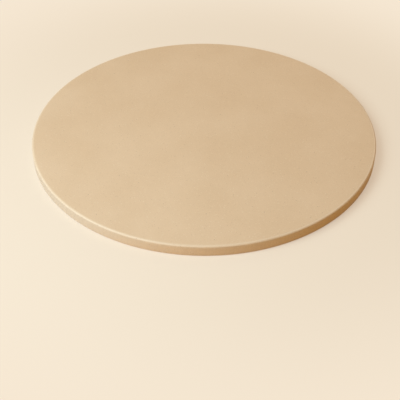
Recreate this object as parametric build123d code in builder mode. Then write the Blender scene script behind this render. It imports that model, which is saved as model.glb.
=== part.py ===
"""Round baking stone for pizza: one slab of pressed and fired cordierite ceramic.

Frame: millimetres, +Z up. The origin is the centre of the underside, on the surface that
the stone rests on, so the flat baking face is at z = stone_thickness.
"""

import os

from build123d import *

# The fired slab.
stone_diameter = 356
stone_thickness = 12

# The rounds that the pressing die gives its two edges. The one round the baking face is
# the larger, so that dough and a peel slide over it. The one round the underside only
# takes off the corner.
baking_edge_radius = 1.8
underside_edge_radius = 1.5


with BuildPart() as baking_stone:
    with BuildSketch(Plane.XY):
        Circle(stone_diameter / 2)
    extrude(amount=stone_thickness)
    underside_edge, baking_edge = baking_stone.edges().filter_by(GeomType.CIRCLE).sort_by(Axis.Z)
    fillet(baking_edge, baking_edge_radius)
    fillet(underside_edge, underside_edge_radius)

baking_stone.part.label = "baking_stone"

os.makedirs("parts", exist_ok=True)
export_step(baking_stone.part, "parts/baking_stone.step")
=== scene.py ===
"""Looks of a round baking stone: one slab of cordierite ceramic, pressed in a die and fired bare.

Units are metres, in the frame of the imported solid: +Z up, with the origin at the centre of the
underside, on the surface that the stone lies on. A name that ends in _mm is in millimetres.
"""

import logging
import math
from dataclasses import dataclass
from enum import Enum
from typing import Any

import bmesh
import bpy
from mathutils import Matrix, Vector, noise


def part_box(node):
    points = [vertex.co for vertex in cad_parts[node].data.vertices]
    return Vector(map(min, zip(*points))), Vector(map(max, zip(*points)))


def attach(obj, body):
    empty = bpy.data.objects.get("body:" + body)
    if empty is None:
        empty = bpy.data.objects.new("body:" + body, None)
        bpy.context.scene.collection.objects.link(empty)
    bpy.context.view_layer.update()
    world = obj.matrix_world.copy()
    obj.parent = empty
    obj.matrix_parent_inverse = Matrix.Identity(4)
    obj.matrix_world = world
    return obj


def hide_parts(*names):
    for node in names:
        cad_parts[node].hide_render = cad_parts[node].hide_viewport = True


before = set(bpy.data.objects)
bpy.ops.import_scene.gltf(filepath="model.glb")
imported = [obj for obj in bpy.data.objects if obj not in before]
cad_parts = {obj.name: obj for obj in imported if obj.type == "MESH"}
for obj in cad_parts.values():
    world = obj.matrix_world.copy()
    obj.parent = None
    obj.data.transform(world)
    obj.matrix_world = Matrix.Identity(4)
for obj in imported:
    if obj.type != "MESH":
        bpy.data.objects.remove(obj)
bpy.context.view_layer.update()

MM = 0.001
FULL_TURN = 2 * math.pi

# A Mix node gives its inputs for numbers and for colours the same names, so they go by place.
MIX_FACTOR = 0
NUMBER_A, NUMBER_B, NUMBER_RESULT = 2, 3, 0
COLOUR_A, COLOUR_B, COLOUR_RESULT = 6, 7, 2

# A noise runs from 0 to 1 but keeps near its middle. These are the ends of what is used of it.
SHADE_ENDS = (0.25, 0.75)
SAND_ENDS = (0.30, 0.70)
CLOUD_ENDS = (0.35, 0.65)
NOISE_MIDDLE = 0.5

# Where each mask starts and is full, in radii of the edge round. The first and the third are
# counted inwards from the wall, the second down from the baking face and the last up from the
# underside.
# The two rim masks also lay a painted highlight along the edge.
RIM_INNER_ENDS = (1.6, 0.9)
RIM_LOWER_ENDS = (0.9, 0.5)
WALL_ENDS = (0.3, 0.1)
# The underside's mask reaches up over the lower round, so its colour also paints shade along the
# foot.
UNDERSIDE_ENDS = (1.1, 0.1)

log = logging.getLogger("baking_stone")


def linear(hex_colour: str) -> tuple[float, float, float, float]:
    """Turns an sRGB colour into the linear one that shaders take.

    Args:
        hex_colour: The colour as "#RRGGBB".

    Returns:
        Red, green, blue and an alpha of 1.
    """
    channels = (int(hex_colour[i : i + 2], 16) / 255 for i in (1, 3, 5))
    red, green, blue = (
        c / 12.92 if c <= 0.04045 else ((c + 0.055) / 1.055) ** 2.4 for c in channels
    )
    return red, green, blue, 1.0


def add_node(
    tree: bpy.types.NodeTree,
    kind: str,
    inputs: dict[str | int, Any] | None = None,
    **settings: Any,
) -> bpy.types.Node:
    """Adds a node with its settings and links.

    Args:
        tree: The tree that the node goes into.
        kind: The node's type.
        inputs: What each input takes: a value, or the output that feeds it.
        **settings: The node's own settings, by name.

    Returns:
        The new node.
    """
    node = tree.nodes.new(kind)
    for name, value in settings.items():
        setattr(node, name, value)
    for socket, value in (inputs or {}).items():
        if isinstance(value, bpy.types.NodeSocket):
            tree.links.new(value, node.inputs[socket])
        else:
            node.inputs[socket].default_value = value
    return node


class Seat(Enum):
    """How a grain or a hole sits in the skin: its value turns a height outwards or inwards."""

    FLUSH = 0
    PROUD = 1
    SUNK = -1


@dataclass(frozen=True)
class Fleck:
    """One kind of grain or hole that is scattered through the body.

    Each is a ball in the body, and the skin cuts it wherever it happens to, so flecks of one
    kind come in all widths up to width_mm.
    """

    name: str
    colour_hex: str
    cover: float
    spacing_mm: float
    width_mm: float
    seat: Seat
    height_mm: float = 0.0


@dataclass(frozen=True)
class Grain:
    """One size of grain in the body: how far it shades the skin and how high it stands in it."""

    name: str
    size_mm: float
    contrast: float
    height_mm: float = 0.0


@dataclass(frozen=True)
class Zones:
    """Masks of the slab's surfaces, which the die and the kiln leave unlike each other.

    The rim's mask also lays a painted highlight, and the underside's lays painted shade
    along the foot.
    """

    rim: bpy.types.NodeSocket
    wall: bpy.types.NodeSocket
    underside: bpy.types.NodeSocket


@dataclass(frozen=True)
class PressedCordierite:
    """Cordierite ceramic, dry-pressed in a steel die and fired without a glaze.

    The eye gets an even, warm beige that is dry and nearly matte, with faint clouds from uneven
    firing and a fine sandy grain. Pale and tan grog grains lie in it, with a few dark iron
    specks and pinholes, whose darker colour is painted shade inside them. The fettled rim is
    smoother and a little silkier. It is paler partly from the fettling and partly as a painted
    highlight. The wall is a shade greyer with faint upright marks from the die. The underside
    is toasted by the kiln shelf, and that darker colour reaches up over the foot as painted
    shade.
    """

    name: str = "pressed_cordierite"
    clay_hex: str = "#E4C8A6"
    cloud_hex: str = "#E0C3A0"
    wall_hex: str = "#E0C8AA"
    # The rim's paler colour is partly the fettled skin and partly a painted highlight along the
    # edge.
    pale_rim_and_highlight_hex: str = "#F2DDC0"
    # The underside's toasted colour also reaches up over the foot, where it is painted shade.
    toasted_and_foot_shade_hex: str = "#CFAD84"
    cloud_mm: float = 60
    cloud_detail: float = 3.0
    pale_rim_and_highlight_cover: float = 0.4
    toasting_and_foot_shade_mm: float = 38
    # The grit is as fine as on the real slab. At about 1 mm to a pixel it doesn't show, so sand
    # of 1.1 mm is drawn over it.
    mottle: Grain = Grain("mottle", 8.0, 0.010)
    sand: Grain = Grain("sand", 1.1, 0.018, 0.025)
    grit: Grain = Grain("grit", 0.35, 0.090, 0.045)
    # What shifts a fleck's edge, so that it isn't round.
    crumble_mm: float = 0.55
    crumble_scale_mm: float = 0.5
    die_mark_mm: float = 1.6
    die_mark_stretch: float = 0.05
    die_mark_contrast: float = 0.02
    die_mark_height_mm: float = 0.008
    # How many finer layers each noise has, and how strong they are in the grains.
    grain_detail: float = 2.0
    grain_layering: float = 0.55
    crumble_detail: float = 1.0
    die_mark_detail: float = 2.0
    roughness: tuple[float, float] = (0.56, 0.70)
    rim_roughness: float = 0.54
    ior: float = 1.5
    flecks: tuple[Fleck, ...] = (
        Fleck("pale_grog", "#F2E2C9", 0.34, 3.3, 1.4, Seat.PROUD, 0.03),
        Fleck("fine_grog", "#F2E2C9", 0.34, 1.9, 0.7, Seat.FLUSH),
        Fleck("tan_grog", "#C8A47C", 0.38, 2.6, 1.0, Seat.FLUSH),
        Fleck("iron", "#7A5A3C", 0.60, 5.6, 0.8, Seat.FLUSH),
        # A pinhole's darker colour is painted shade inside the hole.
        Fleck("pinhole", "#8E6E4C", 0.65, 4.4, 0.6, Seat.SUNK, 0.15),
    )

    def material(self, radius: float, thickness: float, edge: float) -> bpy.types.Material:
        """Builds the material for a slab.

        Args:
            radius: The slab's radius.
            thickness: The slab's thickness.
            edge: The radius of the round between the baking face and the wall.

        Returns:
            The finished material.
        """
        material = bpy.data.materials.new(self.name)
        material.use_nodes = True
        tree = material.node_tree
        tree.nodes.clear()
        place = add_node(tree, "ShaderNodeTexCoord").outputs["Object"]
        zones = self.find_zones(tree, place, radius, thickness, edge)
        die_marks = self.draw_die_marks(tree, place, zones.wall)
        colour = self.mix_body(tree, place, zones)
        colour = self.shade(tree, colour, die_marks, self.die_mark_contrast)
        height = add_node(
            tree,
            "ShaderNodeMath",
            {0: die_marks, 1: self.die_mark_height_mm},
            operation="MULTIPLY",
        ).outputs["Value"]
        for grain in (self.mottle, self.sand, self.grit):
            pattern = add_node(
                tree,
                "ShaderNodeTexNoise",
                {
                    "Vector": place,
                    "Scale": 1 / (grain.size_mm * MM),
                    "Detail": self.grain_detail,
                    "Roughness": self.grain_layering,
                },
                label=grain.name,
            ).outputs["Fac"]
            colour = self.shade(tree, colour, pattern, grain.contrast)
            height = add_node(
                tree,
                "ShaderNodeMath",
                {0: pattern, 1: grain.height_mm, 2: height},
                operation="MULTIPLY_ADD",
            ).outputs["Value"]
        colour, height = self.scatter_flecks(tree, place, colour, height)
        relief = add_node(tree, "ShaderNodeBump", {"Height": height, "Distance": MM})
        # The last pattern, the grit's, also breaks up the sheen.
        shader = add_node(
            tree,
            "ShaderNodeBsdfPrincipled",
            {
                "Base Color": colour,
                "Roughness": self.mix_roughness(tree, pattern, zones.rim),
                "IOR": self.ior,
                "Normal": relief.outputs["Normal"],
            },
        )
        add_node(tree, "ShaderNodeOutputMaterial", {"Surface": shader.outputs["BSDF"]})
        return material

    def find_zones(
        self,
        tree: bpy.types.NodeTree,
        place: bpy.types.NodeSocket,
        radius: float,
        thickness: float,
        edge: float,
    ) -> Zones:
        """Masks the rim, the wall and the underside by height and by reach from the axis.

        Args:
            tree: The tree that the nodes go into.
            place: Where on the slab the point lies.
            radius: The slab's radius.
            thickness: The slab's thickness.
            edge: The radius of the round between the baking face and the wall.

        Returns:
            A mask of each zone, from 0 to 1.
        """
        height = add_node(tree, "ShaderNodeSeparateXYZ", {"Vector": place}).outputs["Z"]
        level = add_node(
            tree, "ShaderNodeVectorMath", {0: place, 1: (1, 1, 0)}, operation="MULTIPLY"
        )
        reach = add_node(
            tree, "ShaderNodeVectorMath", {0: level.outputs["Vector"]}, operation="LENGTH"
        ).outputs["Value"]
        near_edge, above_wall, on_wall, below_wall = (
            add_node(
                tree,
                "ShaderNodeMapRange",
                {
                    "Value": value,
                    "From Min": origin + way * start * edge,
                    "From Max": origin + way * end * edge,
                },
                interpolation_type="SMOOTHSTEP",
            ).outputs["Result"]
            for value, origin, way, (start, end) in (
                (reach, radius, -1, RIM_INNER_ENDS),
                (height, thickness, -1, RIM_LOWER_ENDS),
                (reach, radius, -1, WALL_ENDS),
                (height, 0, 1, UNDERSIDE_ENDS),
            )
        )
        rim = add_node(
            tree, "ShaderNodeMath", {0: near_edge, 1: above_wall}, operation="MULTIPLY"
        ).outputs["Value"]
        return Zones(rim, on_wall, below_wall)

    def mix_body(
        self, tree: bpy.types.NodeTree, place: bpy.types.NodeSocket, zones: Zones
    ) -> bpy.types.NodeSocket:
        """Mixes the clay's colour with its clouds, the wall's, the rim's and the underside's.

        Args:
            tree: The tree that the nodes go into.
            place: Where on the slab the point lies.
            zones: The masks of the rim, the wall and the underside.

        Returns:
            The body's colour.
        """
        # The toasting blotches also set how much painted shade lies along the foot.
        clouds, toasting_and_foot_shade = (
            add_node(
                tree,
                "ShaderNodeTexNoise",
                {"Vector": place, "Scale": 1 / (size_mm * MM), "Detail": self.cloud_detail},
            ).outputs["Fac"]
            for size_mm in (self.cloud_mm, self.toasting_and_foot_shade_mm)
        )
        thin, full = CLOUD_ENDS
        cloudy = add_node(
            tree, "ShaderNodeMapRange", {"Value": clouds, "From Min": thin, "From Max": full}
        ).outputs["Result"]
        # The rim's paler colour is partly fettled skin and partly a painted highlight; the
        # underside's darker colour is partly toasting and partly painted shade along the foot.
        pale_rim_and_highlight_share, toasted_and_foot_shade_share = (
            add_node(
                tree, "ShaderNodeMath", {0: mask, 1: cover}, operation="MULTIPLY"
            ).outputs["Value"]
            for mask, cover in ((zones.rim, self.pale_rim_and_highlight_cover), (zones.underside, toasting_and_foot_shade))
        )
        colour: Any = linear(self.clay_hex)
        for share, hex_colour in (
            (cloudy, self.cloud_hex),
            (zones.wall, self.wall_hex),
            (pale_rim_and_highlight_share, self.pale_rim_and_highlight_hex),
            (toasted_and_foot_shade_share, self.toasted_and_foot_shade_hex),
        ):
            colour = add_node(
                tree,
                "ShaderNodeMix",
                {MIX_FACTOR: share, COLOUR_A: colour, COLOUR_B: linear(hex_colour)},
                data_type="RGBA",
            ).outputs[COLOUR_RESULT]
        return colour

    def shade(
        self,
        tree: bpy.types.NodeTree,
        colour: bpy.types.NodeSocket,
        pattern: bpy.types.NodeSocket,
        contrast: float,
    ) -> bpy.types.NodeSocket:
        """Makes a colour lighter and darker by a pattern.

        Args:
            tree: The tree that the nodes go into.
            colour: The colour to shade.
            pattern: The pattern, about a middle of 0.5.
            contrast: How far the colour goes each way.

        Returns:
            The shaded colour.
        """
        dark, light = SHADE_ENDS
        value = add_node(
            tree,
            "ShaderNodeMapRange",
            {
                "Value": pattern,
                "From Min": dark,
                "From Max": light,
                "To Min": 1 - contrast,
                "To Max": 1 + contrast,
            },
        ).outputs["Result"]
        return add_node(
            tree, "ShaderNodeHueSaturation", {"Value": value, "Color": colour}
        ).outputs["Color"]

    def draw_die_marks(
        self,
        tree: bpy.types.NodeTree,
        place: bpy.types.NodeSocket,
        wall: bpy.types.NodeSocket,
    ) -> bpy.types.NodeSocket:
        """Draws the upright marks that the die leaves on the wall as the slab is pushed out.

        Args:
            tree: The tree that the nodes go into.
            place: Where on the slab the point lies.
            wall: The mask of the wall.

        Returns:
            The marks, about a middle of 0.5, and 0.5 all over the faces.
        """
        upright = add_node(
            tree, "ShaderNodeMapping", {"Vector": place, "Scale": (1, 1, self.die_mark_stretch)}
        ).outputs["Vector"]
        marks = add_node(
            tree,
            "ShaderNodeTexNoise",
            {
                "Vector": upright,
                "Scale": 1 / (self.die_mark_mm * MM),
                "Detail": self.die_mark_detail,
            },
            label="die_marks",
        ).outputs["Fac"]
        return add_node(
            tree,
            "ShaderNodeMix",
            {MIX_FACTOR: wall, NUMBER_A: NOISE_MIDDLE, NUMBER_B: marks},
            data_type="FLOAT",
        ).outputs[NUMBER_RESULT]

    def scatter_flecks(
        self,
        tree: bpy.types.NodeTree,
        place: bpy.types.NodeSocket,
        colour: bpy.types.NodeSocket,
        height: bpy.types.NodeSocket,
    ) -> tuple[bpy.types.NodeSocket, bpy.types.NodeSocket]:
        """Lays every kind of fleck over the skin.

        Args:
            tree: The tree that the nodes go into.
            place: Where on the slab the point lies.
            colour: The colour of the skin.
            height: The height of the skin in millimetres.

        Returns:
            The colour and the height with the flecks in them.
        """
        crumble = add_node(
            tree,
            "ShaderNodeTexNoise",
            {
                "Vector": place,
                "Scale": 1 / (self.crumble_scale_mm * MM),
                "Detail": self.crumble_detail,
            },
        ).outputs["Color"]
        reach = self.crumble_mm * MM
        crumbled = add_node(
            tree,
            "ShaderNodeVectorMath",
            {0: crumble, 1: (reach, reach, reach), 2: place},
            operation="MULTIPLY_ADD",
        ).outputs["Vector"]
        for fleck in self.flecks:
            cells = add_node(
                tree,
                "ShaderNodeTexVoronoi",
                {"Vector": crumbled, "Scale": 1 / (fleck.spacing_mm * MM)},
                label=fleck.name,
            ).outputs["Distance"]
            half_width = fleck.width_mm / fleck.spacing_mm / 2
            inside = add_node(
                tree,
                "ShaderNodeMapRange",
                {"Value": cells, "From Min": half_width, "From Max": half_width / 2},
                interpolation_type="SMOOTHSTEP",
            ).outputs["Result"]
            share = add_node(
                tree, "ShaderNodeMath", {0: inside, 1: fleck.cover}, operation="MULTIPLY"
            ).outputs["Value"]
            colour = add_node(
                tree,
                "ShaderNodeMix",
                {MIX_FACTOR: share, COLOUR_A: colour, COLOUR_B: linear(fleck.colour_hex)},
                data_type="RGBA",
            ).outputs[COLOUR_RESULT]
            if fleck.seat is not Seat.FLUSH:
                height = add_node(
                    tree,
                    "ShaderNodeMath",
                    {0: inside, 1: fleck.seat.value * fleck.height_mm, 2: height},
                    operation="MULTIPLY_ADD",
                ).outputs["Value"]
        return colour, height

    def mix_roughness(
        self, tree: bpy.types.NodeTree, grain: bpy.types.NodeSocket, rim: bpy.types.NodeSocket
    ) -> bpy.types.NodeSocket:
        """Makes the sandy skin rough and the fettled rim smoother.

        Args:
            tree: The tree that the nodes go into.
            grain: The sandy grain.
            rim: The mask of the rim.

        Returns:
            The roughness.
        """
        smooth, rough = self.roughness
        low, high = SAND_ENDS
        sandy = add_node(
            tree,
            "ShaderNodeMapRange",
            {
                "Value": grain,
                "From Min": low,
                "From Max": high,
                "To Min": smooth,
                "To Max": rough,
            },
        ).outputs["Result"]
        return add_node(
            tree,
            "ShaderNodeMix",
            {MIX_FACTOR: rim, NUMBER_A: sandy, NUMBER_B: self.rim_roughness},
            data_type="FLOAT",
        ).outputs[NUMBER_RESULT]


@dataclass(frozen=True)
class Shrinkage:
    """One size of the unevenness that firing leaves: its depth and the length of its waves."""

    depth: float
    length: float

    def sink(self, place: Vector) -> float:
        """Says how deep the skin lies under its nominal place.

        Args:
            place: The point on the slab.

        Returns:
            The depth, from 0 to this shrinkage's own.
        """
        return self.depth * (1 + noise.noise(place / self.length)) / 2


@dataclass
class BakingStone:
    """The slab itself, spun from the half section that its die gives it."""

    node: str = "baking_stone"
    baking_edge: float = 1.8 * MM
    underside_edge: float = 1.5 * MM
    turn_steps: int = 360
    edge_steps: int = 8
    ring_width: float = 2.7 * MM
    slack: tuple[Shrinkage, ...] = (
        Shrinkage(0.10 * MM, 80 * MM),
        Shrinkage(0.03 * MM, 22 * MM),
    )
    edge_slack: Shrinkage = Shrinkage(0.08 * MM, 12 * MM)
    edge_reach: float = 5 * MM
    weld_reach: float = 0.01 * MM

    def __post_init__(self) -> None:
        """Reads the slab's radius and thickness from its solid."""
        low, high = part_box(self.node)
        self.radius = min(high.x - low.x, high.y - low.y) / 2
        self.thickness = high.z - low.z

    def build(self, finish: PressedCordierite) -> bpy.types.Object:
        """Makes the slab, dresses it and lets it stand for its solid.

        Args:
            finish: The ceramic that the slab is made of.

        Returns:
            The finished slab.
        """
        mesh = bpy.data.meshes.new("fired_slab")
        bm = bmesh.new()
        self.draw_half_section(bm)
        self.spin_section(bm)
        self.fire(bm)
        bm.to_mesh(mesh)
        bm.free()
        slab = bpy.data.objects.new("fired_slab", mesh)
        bpy.context.scene.collection.objects.link(slab)
        mesh.materials.append(finish.material(self.radius, self.thickness, self.baking_edge))
        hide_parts(self.node)
        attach(slab, "root")
        return slab

    def draw_half_section(self, bm: bmesh.types.BMesh) -> None:
        """Draws the section from the axis along the underside, up the wall and back to the axis.

        Args:
            bm: The mesh that takes the section.
        """
        corners = [
            bm.verts.new(place)
            for place in (
                (0, 0, 0),
                (self.radius, 0, 0),
                (self.radius, 0, self.thickness),
                (0, 0, self.thickness),
            )
        ]
        for start, end in zip(corners, corners[1:]):
            bm.edges.new((start, end))
        for corner, offset in ((corners[1], self.underside_edge), (corners[2], self.baking_edge)):
            bmesh.ops.bevel(
                bm,
                geom=[corner],
                offset=offset,
                offset_type="OFFSET",
                segments=self.edge_steps,
                profile=0.5,
                affect="VERTICES",
                material=-1,
            )
        for edge in list(bm.edges):
            cuts = round(edge.calc_length() / self.ring_width) - 1
            if cuts > 0:
                bmesh.ops.subdivide_edges(bm, edges=[edge], cuts=cuts)

    def spin_section(self, bm: bmesh.types.BMesh) -> None:
        """Turns the half section about the slab's axis and closes both poles.

        Args:
            bm: The mesh that holds the section.
        """
        bmesh.ops.spin(
            bm,
            geom=[*bm.verts, *bm.edges],
            cent=(0, 0, 0),
            axis=(0, 0, 1),
            angle=FULL_TURN,
            steps=self.turn_steps,
            use_merge=True,
        )
        bmesh.ops.remove_doubles(bm, verts=bm.verts, dist=self.weld_reach)
        bmesh.ops.recalc_face_normals(bm, faces=bm.faces)
        for face in bm.faces:
            face.smooth = True

    def fire(self, bm: bmesh.types.BMesh) -> None:
        """Lets the skin sink a little unevenly, and more so at the edges.

        It only goes inwards, so the slab stays inside its solid.

        Args:
            bm: The mesh of the slab.
        """
        bm.normal_update()
        for vert in bm.verts:
            reach = math.hypot(vert.co.x, vert.co.y)
            at_edge = max(0.0, 1 - (self.radius - reach) / self.edge_reach)
            depth = sum(slack.sink(vert.co) for slack in self.slack)
            depth += at_edge * self.edge_slack.sink(vert.co)
            vert.co -= vert.normal * depth


@dataclass(frozen=True)
class SoftLamp:
    """A square softbox that points at the stone.

    Its level is how bright it makes a white card that faces it from the stone's place, where 1
    is white.
    """

    name: str
    azimuth: float
    elevation: float
    distance: float
    side: float
    level: float
    colour_hex: str = "#FFFFFF"

    def hang(self) -> None:
        """Puts the lamp up and turns it to the stone."""
        light = bpy.data.lights.new(self.name, "AREA")
        light.shape = "SQUARE"
        light.size = self.side
        light.energy = self.level * (math.pi * self.distance) ** 2
        light.color = linear(self.colour_hex)[:3]
        lamp = bpy.data.objects.new(self.name, light)
        turn, tilt = math.radians(self.azimuth), math.radians(self.elevation)
        away = Vector(
            (math.sin(turn) * math.cos(tilt), -math.cos(turn) * math.cos(tilt), math.sin(tilt))
        )
        lamp.location = away * self.distance
        lamp.rotation_euler = away.to_track_quat("Z", "Y").to_euler()
        bpy.context.scene.collection.objects.link(lamp)


@dataclass(frozen=True)
class Studio:
    """The plain pale floor, the lamps and the dim room round the stone."""

    floor_side: float = 6.0
    floor_hex: str = "#F6E7D2"
    # As far out as lit_reach, lit_share of the floor's look is light and shadow and the rest is
    # its plain colour. From there it turns plain, and is wholly so at plain_reach.
    lit_reach: float = 0.20
    plain_reach: float = 0.42
    lit_share: float = 0.5
    table_hex: str = "#E3B264"
    # At the stone's left a pale cloth lies on the table. Along X it ends in a soft edge.
    cloth_hex: str = "#D0CCCE"
    cloth_end: float = -0.18
    table_start: float = -0.02
    room_hex: str = "#FFD292"
    room_level: float = 0.32
    lamps: tuple[SoftLamp, ...] = (
        SoftLamp("key_softbox", -55, 42, 1.25, 0.85, 1.09, "#DBF1FF"),
        SoftLamp("back_softbox", 150, 38, 1.25, 0.85, 0.16, "#FFF0DC"),
    )

    def build(self) -> None:
        """Lays the floor, hangs the lamps and lights the room."""
        self.lay_floor()
        for lamp in self.lamps:
            lamp.hang()
        self.light_room()

    def lay_floor(self) -> None:
        """Lays the floor at the stone's foot.

        It shows its pale colour with the stone's soft shadow, but it throws back light as a
        wooden table would that has a pale cloth at the stone's left.
        """
        mesh = bpy.data.meshes.new("studio_floor")
        bm = bmesh.new()
        bmesh.ops.create_grid(bm, x_segments=1, y_segments=1, size=self.floor_side / 2)
        bm.to_mesh(mesh)
        bm.free()
        floor = bpy.data.objects.new("studio_floor", mesh)
        bpy.context.scene.collection.objects.link(floor)
        mesh.materials.append(self.floor_material())

    def floor_material(self) -> bpy.types.Material:
        """Builds the floor's material.

        Returns:
            The finished material.
        """
        material = bpy.data.materials.new("pale_studio_floor")
        material.use_nodes = True
        tree = material.node_tree
        tree.nodes.clear()
        seen = self.find_seen(tree)
        place = add_node(tree, "ShaderNodeTexCoord").outputs["Object"]
        across = add_node(tree, "ShaderNodeSeparateXYZ", {"Vector": place}).outputs["X"]
        past_cloth = add_node(
            tree,
            "ShaderNodeMapRange",
            {"Value": across, "From Min": self.cloth_end, "From Max": self.table_start},
            interpolation_type="SMOOTHSTEP",
        ).outputs["Result"]
        colour: Any = linear(self.cloth_hex)
        for share, hex_colour in ((past_cloth, self.table_hex), (seen, self.floor_hex)):
            colour = add_node(
                tree,
                "ShaderNodeMix",
                {MIX_FACTOR: share, COLOUR_A: colour, COLOUR_B: linear(hex_colour)},
                data_type="RGBA",
            ).outputs[COLOUR_RESULT]
        lit = add_node(tree, "ShaderNodeBsdfDiffuse", {"Color": colour})
        glow = add_node(tree, "ShaderNodeEmission", {"Color": linear(self.floor_hex)})
        reach = add_node(tree, "ShaderNodeVectorMath", {0: place}, operation="LENGTH")
        plain = add_node(
            tree,
            "ShaderNodeMapRange",
            {
                "Value": reach.outputs["Value"],
                "From Min": self.lit_reach,
                "From Max": self.plain_reach,
                "To Min": 1 - self.lit_share,
                "To Max": 1.0,
            },
            interpolation_type="SMOOTHSTEP",
        ).outputs["Result"]
        glow_share = add_node(
            tree, "ShaderNodeMath", {0: seen, 1: plain}, operation="MULTIPLY"
        ).outputs["Value"]
        both = add_node(
            tree,
            "ShaderNodeMixShader",
            {0: glow_share, 1: lit.outputs["BSDF"], 2: glow.outputs["Emission"]},
        )
        add_node(tree, "ShaderNodeOutputMaterial", {"Surface": both.outputs["Shader"]})
        return material

    def light_room(self) -> None:
        """Gives the room its dim, warm light, and the floor's pale colour where it is seen."""
        world = bpy.data.worlds.new("studio_room")
        world.use_nodes = True
        tree = world.node_tree
        tree.nodes.clear()
        room = add_node(
            tree,
            "ShaderNodeBackground",
            {"Color": linear(self.room_hex), "Strength": self.room_level},
        )
        pale = add_node(tree, "ShaderNodeBackground", {"Color": linear(self.floor_hex)})
        both = add_node(
            tree,
            "ShaderNodeMixShader",
            {
                0: self.find_seen(tree),
                1: room.outputs["Background"],
                2: pale.outputs["Background"],
            },
        )
        add_node(tree, "ShaderNodeOutputWorld", {"Surface": both.outputs["Shader"]})
        bpy.context.scene.world = world

    def find_seen(self, tree: bpy.types.NodeTree) -> bpy.types.NodeSocket:
        """Tells what is seen, straight or in gloss or glass, from what only lights the stone.

        Args:
            tree: The tree that the nodes go into.

        Returns:
            A mask that is 1 where a ray is seen.
        """
        rays = add_node(tree, "ShaderNodeLightPath").outputs
        seen = rays["Is Camera Ray"]
        for kind in ("Is Glossy Ray", "Is Transmission Ray"):
            seen = add_node(
                tree, "ShaderNodeMath", {0: seen, 1: rays[kind]}, operation="MAXIMUM"
            ).outputs["Value"]
        return seen


@dataclass(frozen=True)
class PhotoCamera:
    """The camera at the photograph's place: in front of the stone and well above it."""

    place: tuple[float, float, float] = (0.0, -0.6840, 0.4996)
    aim: tuple[float, float, float] = (-0.0035, -0.1010, 0.0)
    lens: float = 72.0
    sensor: float = 36.0

    def build(self) -> bpy.types.Object:
        """Sets the camera up and makes it the scene's own.

        Returns:
            The camera.
        """
        data = bpy.data.cameras.new("photo_camera")
        data.lens = self.lens
        data.sensor_width = self.sensor
        camera = bpy.data.objects.new("photo_camera", data)
        camera.location = self.place
        sight = Vector(self.place) - Vector(self.aim)
        camera.rotation_euler = sight.to_track_quat("Z", "Y").to_euler()
        bpy.context.scene.collection.objects.link(camera)
        bpy.context.scene.camera = camera
        return camera


def main() -> None:
    """Builds the camera, the studio and the stone, and reports each."""
    logging.basicConfig(level=logging.INFO, format="%(message)s")
    bpy.context.scene.view_settings.view_transform = "Standard"
    camera = PhotoCamera().build()
    log.info("camera %s at %s", camera.name, tuple(camera.location))
    Studio().build()
    log.info("studio floor and lamps are up")
    slab = BakingStone().build(PressedCordierite())
    log.info("%s has %d faces", slab.name, len(slab.data.polygons))


if __name__ == "__main__":
    main()
